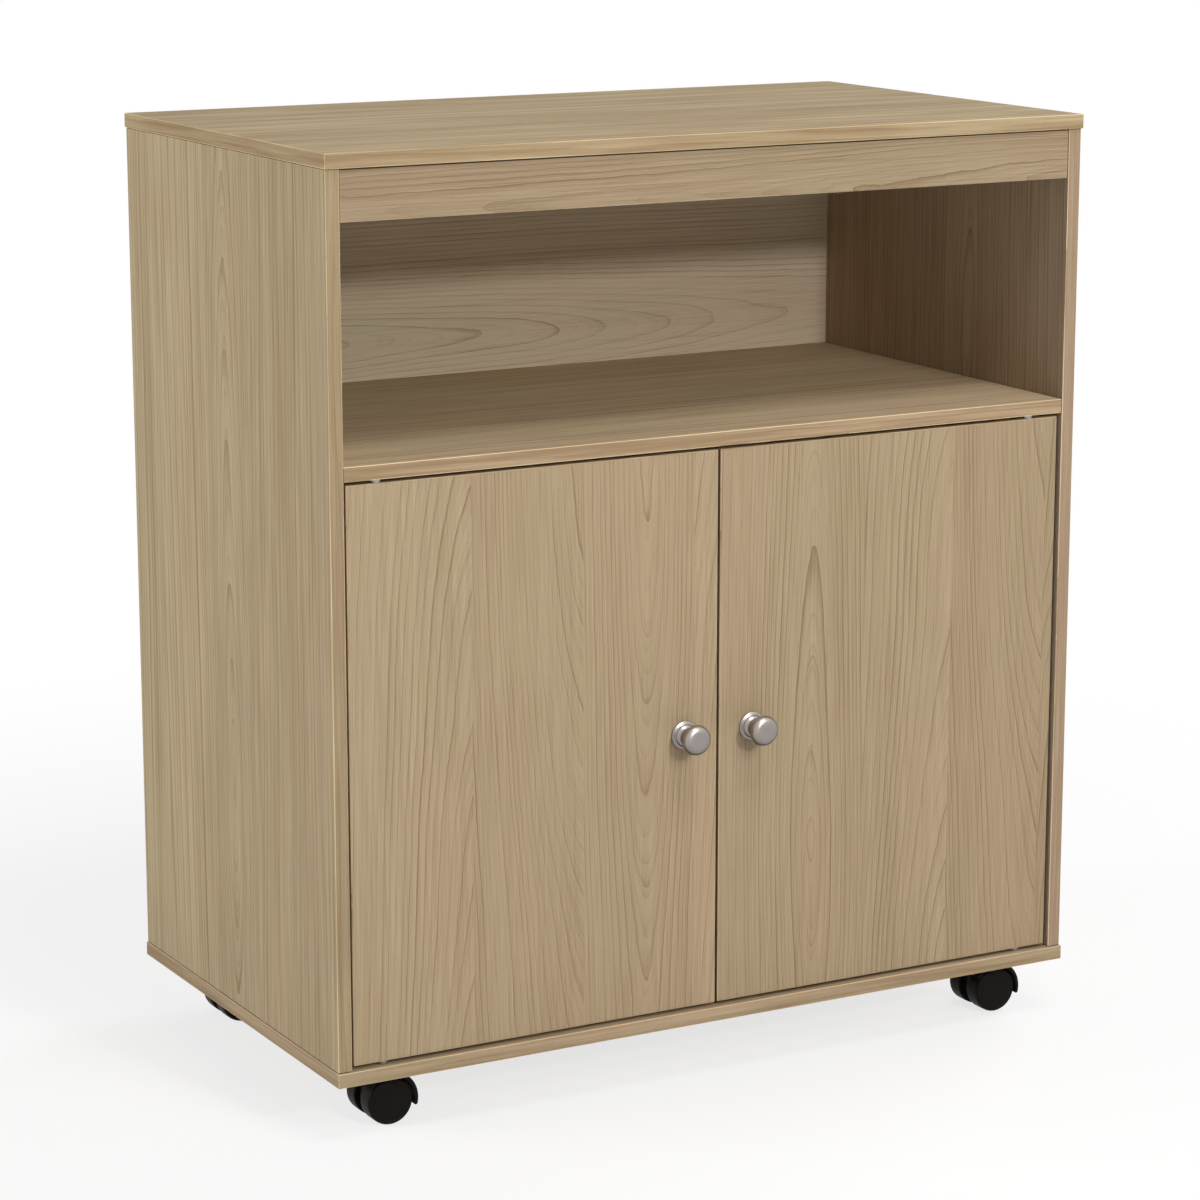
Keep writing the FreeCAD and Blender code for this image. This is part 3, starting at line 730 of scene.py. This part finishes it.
def set_camera(stage):
    """A camera that looks down a little, with no depth of field."""
    lens = bpy.data.cameras.new("camera")
    lens.lens = stage.camera_lens
    lens.sensor_width = 36.0
    camera = bpy.data.objects.new("camera", lens)
    camera.location = stage.camera_place
    camera.rotation_euler = (QUARTER_TURN - stage.camera_tilt, 0.0, -stage.camera_turn)
    bpy.context.scene.collection.objects.link(camera)
    bpy.context.scene.camera = camera


# Outlines of turned pieces: radius and height in millimetres, the height measured from the seat. The
# subdivision of the turned mesh rounds them.
KNOB_OUTLINE = (
    (2.1, 0.0), (11.6, 0.0), (12.1, 0.3), (12.2, 1.2), (11.8, 1.9), (10.2, 2.2), (9.5, 2.6), (9.3, 3.6),
    (8.7, 4.5), (7.4, 5.1), (6.7, 6.2), (6.5, 8.0), (6.6, 10.0), (7.2, 12.0), (8.5, 14.2), (10.3, 16.2),
    (12.0, 17.8), (12.65, 18.9), (12.75, 20.0), (12.45, 21.5), (11.7, 23.2), (10.4, 24.6), (8.6, 25.3),
    (6.0, 25.5), (2.0, 25.5), (0.0, 25.5),
)
WHEEL_OUTLINE = (
    (3.1, 13.3), (3.1, 0.4), (3.5, 0.0), (19.0, 0.0), (19.9, 0.5), (20.0, 1.4), (20.0, 13.6), (19.8, 15.0),
    (18.9, 16.2), (17.4, 16.8), (16.6, 16.8), (16.3, 16.45), (15.7, 16.45), (15.4, 16.8), (14.6, 17.0),
    (6.0, 17.0), (0.0, 17.0),
)

# Start, heart, depth, rise, turn, sway, rings and tone of the strips.
LEFT_DOOR_STRIPS = (
    Strip(0.000, 0.365, 40.0, 80.0, 0.00, 6.0, 1.3, 0.74),
    Strip(0.324, 0.660, 40.0, 85.0, 1.00, 5.0, 1.0, 0.66),
    Strip(0.623, 0.800, 13.0, 42.0, 1.04, 3.0, 1.0, 0.66),
    Strip(0.930, 1.080, 43.0, 60.0, 0.00, 4.0, 1.3, 0.74),
)
RIGHT_DOOR_STRIPS = (
    Strip(0.000, 0.270, 12.0, 42.0, 0.28, 3.0, 1.0, 0.68),
    Strip(0.420, 0.725, 38.0, 80.0, 0.00, 6.0, 1.3, 0.74),
    Strip(0.682, 1.000, 42.0, 80.0, 1.00, 5.0, 1.0, 0.64),
    Strip(0.965, 1.010, 12.0, 50.0, 0.00, 6.0, 1.0, 0.60),
)
LEFT_SIDE_STRIPS = (
    Strip(0.000, -0.250, 37.0, 10.0, 0.00, 3.0, 1.0, 0.66),
    Strip(0.143, 0.480, 40.0, 30.0, 1.00, 4.0, 1.0, 0.62),
    Strip(0.382, 0.497, 12.0, 44.0, 0.26, 4.0, 0.60, 0.66),
    Strip(0.590, 0.900, 24.0, 20.0, 0.00, 3.0, 1.0, 0.72),
    Strip(0.846, 0.600, 34.0, 20.0, 0.00, 3.0, 1.0, 0.66),
)
RIGHT_SIDE_STRIPS = (
    Strip(0.000, 0.400, 32.0, 25.0, 0.00, 4.0, 1.0, 0.66),
    Strip(0.230, 0.360, 16.0, 34.0, 0.72, 4.0, 0.8, 0.70),
    Strip(0.480, 0.860, 34.0, 35.0, 1.00, 4.0, 1.0, 0.64),
    Strip(0.760, 0.500, 33.0, 20.0, 0.00, 3.0, 1.0, 0.70),
)
TOP_STRIPS = (
    Strip(0.000, -0.300, 42.0, 10.0, 0.00, 4.0, 1.0, 0.72),
    Strip(0.260, 0.900, 40.0, 14.0, 1.00, 4.0, 1.0, 0.64),
    Strip(0.540, 0.150, 36.0, 12.0, 0.00, 4.0, 1.0, 0.70),
    Strip(0.800, 1.350, 35.0, 14.0, 0.00, 4.0, 1.0, 0.66),
)
SHELF_STRIPS = (
    Strip(0.000, -0.400, 42.0, 10.0, 0.00, 4.0, 1.0, 1.00),
    Strip(0.300, 0.950, 40.0, 14.0, 1.00, 4.0, 1.0, 0.90),
    Strip(0.620, 0.150, 36.0, 12.0, 0.00, 4.0, 1.0, 0.96),
)
RAIL_STRIPS = (
    Strip(0.000, 0.120, 19.0, 18.0, 1.05, 1.2, 0.9, 0.66),
)
BACK_STRIPS = (
    Strip(0.000, 0.300, 30.0, 30.0, 0.00, 5.0, 0.8, 0.90),
    Strip(0.330, 0.500, 40.0, 30.0, 1.00, 5.0, 0.8, 0.96),
    Strip(0.660, 0.723, 9.0, 60.0, 0.12, 4.0, 0.8, 1.00),
    Strip(0.805, 0.700, 38.0, 20.0, 0.00, 6.0, 0.8, 0.94),
)

# Axes along, across and through the boards, their strips, rings, gain, cool, rim and joints. The gains
# are partly painted light, above all the high ones of the shelf, the right side and the back in the niche.
BOARDS = {
    "left_door": Board("Z", "X", "Y", LEFT_DOOR_STRIPS, 1.0, (0.94, 0.94, 0.945), 0.5, 0.26, ""),
    "right_door": Board("Z", "X", "Y", RIGHT_DOOR_STRIPS, 1.0, (0.89, 0.895, 0.895), 0.5, 0.26, ""),
    "left_side_panel": Board("Z", "Y", "X", LEFT_SIDE_STRIPS, 1.6, (1.055, 1.07, 1.07), 0.95, 0.44, "Z"),
    "right_side_panel": Board("Z", "Y", "X", RIGHT_SIDE_STRIPS, 1.3, (1.16, 1.19, 1.33), 0.7, 0.50, "Z"),
    "top_panel": Board("X", "Y", "Z", TOP_STRIPS, 2.4, (1.07, 1.055, 1.01), 0.95, 0.37, ""),
    "bottom_panel": Board("X", "Y", "Z", TOP_STRIPS, 2.4, (1.00, 1.00, 1.00), 0.6, 0.26, ""),
    "middle_shelf": Board("X", "Y", "Z", SHELF_STRIPS, 2.0, (1.14, 1.14, 1.14), 0.6, 0.84, "X"),
    "front_rail": Board("X", "Z", "Y", RAIL_STRIPS, 1.0, (0.82, 0.82, 0.825), 0.5, 0.26, "XZ"),
}
# The back's high gain is mostly painted light, for the light that the rail keeps off it.
BACK = Board("X", "Z", "Y", BACK_STRIPS, 1.3, (1.27, 1.35, 1.50), 0.6, 0.26, "XZ")

STEEL_NODES = (
    "left_knob_screw", "right_knob_screw", "left_door_upper_pin", "right_door_upper_pin",
    "left_door_lower_pin", "right_door_lower_pin", "catch_pole_plates", "catch_screws",
    "left_strike_plate", "right_strike_plate", "left_strike_screw", "right_strike_screw",
    "bottom_screws", "caster_screws",
)


class CartBoards(bpy.types.PropertyGroup):
    """The printed boards."""

    pale_warm: bpy.props.FloatVectorProperty(
        name="Warm pale tone", description="Pinkish pale tone between the grain lines",
        subtype="COLOR", default=(0.492, 0.356, 0.236), min=0.0, max=1.0)
    pale_cool: bpy.props.FloatVectorProperty(
        name="Cool pale tone", description="Greyer pale tone between the grain lines",
        subtype="COLOR", default=(0.448, 0.366, 0.230), min=0.0, max=1.0)
    dark: bpy.props.FloatVectorProperty(
        name="Dark tone", description="Tone of the grain lines",
        subtype="COLOR", default=(0.262, 0.180, 0.103), min=0.0, max=1.0)
    fibreboard_pale: bpy.props.FloatVectorProperty(
        name="Pale fibreboard", description="Paler tone of the bare back",
        subtype="COLOR", default=(0.330, 0.215, 0.125), min=0.0, max=1.0)
    fibreboard_dark: bpy.props.FloatVectorProperty(
        name="Dark fibreboard", description="Darker tone of the bare back",
        subtype="COLOR", default=(0.230, 0.142, 0.078), min=0.0, max=1.0)
    ring_width: bpy.props.FloatProperty(
        name="Ring width", description="Width of one ring of the printed grain",
        unit="LENGTH", default=0.0037, min=0.001, max=0.02)
    line_depth: bpy.props.FloatProperty(
        name="Line depth", description="How dark the grain lines are",
        subtype="FACTOR", default=1.20, min=0.0, max=3.0)
    fibre_depth: bpy.props.FloatProperty(
        name="Fibre depth", description="How strongly the fine fibres show",
        subtype="FACTOR", default=0.30, min=0.0, max=1.0)
    roughness: bpy.props.FloatProperty(
        name="Roughness", description="Roughness of the printed face",
        subtype="FACTOR", default=0.56, min=0.0, max=1.0)
    gloss: bpy.props.FloatProperty(
        name="Gloss", description="Strength of the printed face's reflections",
        subtype="FACTOR", default=0.03, min=0.0, max=1.0)


class CartFittings(bpy.types.PropertyGroup):
    """Metal, plastic and timber fittings."""

    nickel: bpy.props.FloatVectorProperty(
        name="Nickel", description="Colour of the knobs' satin nickel",
        subtype="COLOR", default=(0.320, 0.290, 0.272), min=0.0, max=1.0)
    # A painted reflection: a cool tone where the nickel faces the door turns the door's brown in it grey.
    nickel_painted_reflection: bpy.props.FloatVectorProperty(
        name="Nickel rear", description="Colour of the nickel where it faces the door",
        subtype="COLOR", default=(0.23, 0.28, 0.38), min=0.0, max=1.0)
    nickel_sheen: bpy.props.FloatVectorProperty(
        name="Nickel sheen", description="Colour of the nickel at a flat angle",
        subtype="COLOR", default=(0.42, 0.52, 0.70), min=0.0, max=1.0)
    steel: bpy.props.FloatVectorProperty(
        name="Steel", description="Colour of the plated screws, pins and plates",
        subtype="COLOR", default=(0.34, 0.335, 0.32), min=0.0, max=1.0)
    plastic: bpy.props.FloatVectorProperty(
        name="Plastic", description="Colour of the bushes and catch housings",
        subtype="COLOR", default=(0.62, 0.57, 0.46), min=0.0, max=1.0)
    ferrite: bpy.props.FloatVectorProperty(
        name="Ferrite", description="Colour of the catches' magnets",
        subtype="COLOR", default=(0.035, 0.034, 0.036), min=0.0, max=1.0)
    beech: bpy.props.FloatVectorProperty(
        name="Beech", description="Colour of the dowels",
        subtype="COLOR", default=(0.58, 0.40, 0.23), min=0.0, max=1.0)
    nylon: bpy.props.FloatVectorProperty(
        name="Nylon", description="Colour of the casters' black nylon",
        subtype="COLOR", default=(0.0062, 0.0055, 0.0038), min=0.0, max=1.0)


class CartStage(bpy.types.PropertyGroup):
    """Camera, lamps, surround and floor."""

    camera_place: bpy.props.FloatVectorProperty(
        name="Camera place", description="Where the camera stands",
        subtype="TRANSLATION", unit="LENGTH", default=(-1.532, -2.757, 1.066))
    camera_turn: bpy.props.FloatProperty(
        name="Camera turn",
        description="How far the camera looks to the right of the cart's front-to-back line",
        unit="ROTATION", default=math.radians(28.92))
    camera_tilt: bpy.props.FloatProperty(
        name="Camera tilt", description="How far the camera looks down",
        unit="ROTATION", default=math.radians(12.38))
    camera_lens: bpy.props.FloatProperty(
        name="Lens", description="Focal length for a 36 mm sensor",
        unit="CAMERA", default=112.5, min=10.0, max=400.0)
    key_power: bpy.props.FloatProperty(
        name="Key lamp", description="Power of the soft lamp above the front",
        unit="POWER", default=22.0, min=0.0)
    niche_power: bpy.props.FloatProperty(
        name="Niche lamp", description="Power of the small lamp in front that shines in under the rail",
        unit="POWER", default=32.0, min=0.0)
    low_power: bpy.props.FloatProperty(
        name="Low lamp", description="Power of the low lamp in front",
        unit="POWER", default=7.0, min=0.0)
    side_power: bpy.props.FloatProperty(
        name="Side lamp", description="Power of the soft lamp at the left",
        unit="POWER", default=43.0, min=0.0)
    top_power: bpy.props.FloatProperty(
        name="Top lamp", description="Power of the soft lamp overhead",
        unit="POWER", default=28.0, min=0.0)
    back_power: bpy.props.FloatProperty(
        name="Back lamp", description="Power of the soft lamp behind and to the right",
        unit="POWER", default=60.0, min=0.0)
    ambient: bpy.props.FloatProperty(
        name="Ambient", description="Even light from all round",
        subtype="FACTOR", default=0.18, min=0.0, max=2.0)
    floor: bpy.props.FloatVectorProperty(
        name="Floor", description="Colour of the floor",
        subtype="COLOR", default=(0.88, 0.88, 0.88), min=0.0, max=1.0)


class CART_OT_boards(bpy.types.Operator):
    """Prints every board with its own wood grain, a gain that is partly painted light, and painted light on
    the arrises
    """

    bl_idname = "cart.boards"
    bl_label = "Print the boards"

    def execute(self, context):
        for node, board in BOARDS.items():
            dress(node, board_finish(node, board))
        dress("back_panel", hardboard_finish("back_panel", BACK))
        return {"FINISHED"}


class CART_OT_knobs(bpy.types.Operator):
    """Turns the knobs and gives them their satin nickel, with painted highlight, shade and reflection"""

    bl_idname = "cart.knobs"
    bl_label = "Turn the knobs"

    def execute(self, context):
        style = context.scene.cart_fittings
        nickel = satin_metal_with_painted_light("satin_nickel", style.nickel, style.nickel_painted_reflection, style.nickel_sheen,
                             roughness=0.34, fineness=2600.0)
        face_out = Matrix.Rotation(QUARTER_TURN, 4, "X")
        for side in SIDES:
            seat = seat_of(side + "_knob", rear=True)
            knob = settle(turned(KNOB_OUTLINE, steps=32), side + "_turned_knob", face_out, seat)
            stand_in(knob, side + "_knob", side + "_door", nickel)
            dress(side + "_knob", nickel)
        return {"FINISHED"}


class CART_OT_casters(bpy.types.Operator):
    """Turns the casters' wheels and gives the casters black nylon and plated steel"""

    bl_idname = "cart.casters"
    bl_label = "Turn the wheels and finish the casters"

    def execute(self, context):
        style = context.scene.cart_fittings
        nylon = moulded_plastic("black_nylon", style.nylon, roughness=0.45, fineness=1800.0, gloss=0.06)
        steel = brushed_metal("caster_steel", style.steel, roughness=0.34, fineness=1500.0)
        for caster in CASTERS:
            for end, face_out in (("fore", QUARTER_TURN), ("aft", -QUARTER_TURN)):
                node = f"{caster}_{end}_wheel"
                inner_seat = seat_of(node, rear=end == "fore")
                turn = Matrix.Rotation(face_out, 4, "X")
                wheel = settle(turned(WHEEL_OUTLINE, steps=48), node + "_tyre", turn, inner_seat)
                stand_in(wheel, node, node, nylon)
            for part in ("caster_hood", "fore_wheel", "aft_wheel"):
                dress(f"{caster}_{part}", nylon)
            for part in ("caster_plate", "kingpin", "axle"):
                dress(f"{caster}_{part}", steel)
        return {"FINISHED"}


class CART_OT_fittings(bpy.types.Operator):
    """Gives pins, screws, catches and dowels their finishes"""

    bl_idname = "cart.fittings"
    bl_label = "Finish the fittings"

    def execute(self, context):
        style = context.scene.cart_fittings
        steel = brushed_metal("plated_steel", style.steel, roughness=0.30, fineness=1900.0)
        plastic = moulded_plastic("pale_plastic", style.plastic, roughness=0.48, fineness=1400.0, gloss=0.4)
        ferrite = moulded_plastic("ferrite", style.ferrite, roughness=0.60, fineness=2200.0, gloss=0.3)
        for node in STEEL_NODES:
            dress(node, steel)
        for node in ("pivot_bushes", "catch_housings"):
            dress(node, plastic)
        dress("catch_magnets", ferrite)
        dress("dowels", dowel_finish("beech", style.beech, roughness=0.62))
        return {"FINISHED"}


class CART_OT_stage(bpy.types.Operator):
    """Sets up the floor, the lamps, the white surround and the camera"""

    bl_idname = "cart.stage"
    bl_label = "Set the stage"

    def execute(self, context):
        stage = context.scene.cart_stage
        lay_floor(stage)
        for name, lamp in LAMPS.items():
            soft_lamp(name + "_lamp", lamp, getattr(stage, name + "_power"))
        white_surround(stage)
        set_camera(stage)
        context.scene.view_settings.view_transform = "Standard"
        return {"FINISHED"}


OPERATORS = (CART_OT_boards, CART_OT_knobs, CART_OT_casters, CART_OT_fittings, CART_OT_stage)
GROUPS = {"cart_boards": CartBoards, "cart_fittings": CartFittings, "cart_stage": CartStage}


class CART_PT_panel(bpy.types.Panel):
    """Lists the cart's operators and what can be changed"""

    bl_idname = "CART_PT_panel"
    bl_label = "Kitchen cart"
    bl_space_type = "VIEW_3D"
    bl_region_type = "UI"
    bl_category = "Cart"

    def draw(self, context):
        for operator in OPERATORS:
            self.layout.operator(operator.bl_idname)
        for group, kind in GROUPS.items():
            box = self.layout.box()
            for name in kind.__annotations__:
                box.prop(getattr(context.scene, group), name)


def register():
    for name, group in GROUPS.items():
        bpy.utils.register_class(group)
        setattr(bpy.types.Scene, name, bpy.props.PointerProperty(type=group))
    for operator in OPERATORS:
        bpy.utils.register_class(operator)
    bpy.utils.register_class(CART_PT_panel)


def unregister():
    bpy.utils.unregister_class(CART_PT_panel)
    for operator in reversed(OPERATORS):
        bpy.utils.unregister_class(operator)
    for name, group in GROUPS.items():
        delattr(bpy.types.Scene, name)
        bpy.utils.unregister_class(group)


def main():
    register()
    bpy.ops.cart.boards()
    bpy.ops.cart.knobs()
    bpy.ops.cart.casters()
    bpy.ops.cart.fittings()
    bpy.ops.cart.stage()


if __name__ == "__main__":
    main()
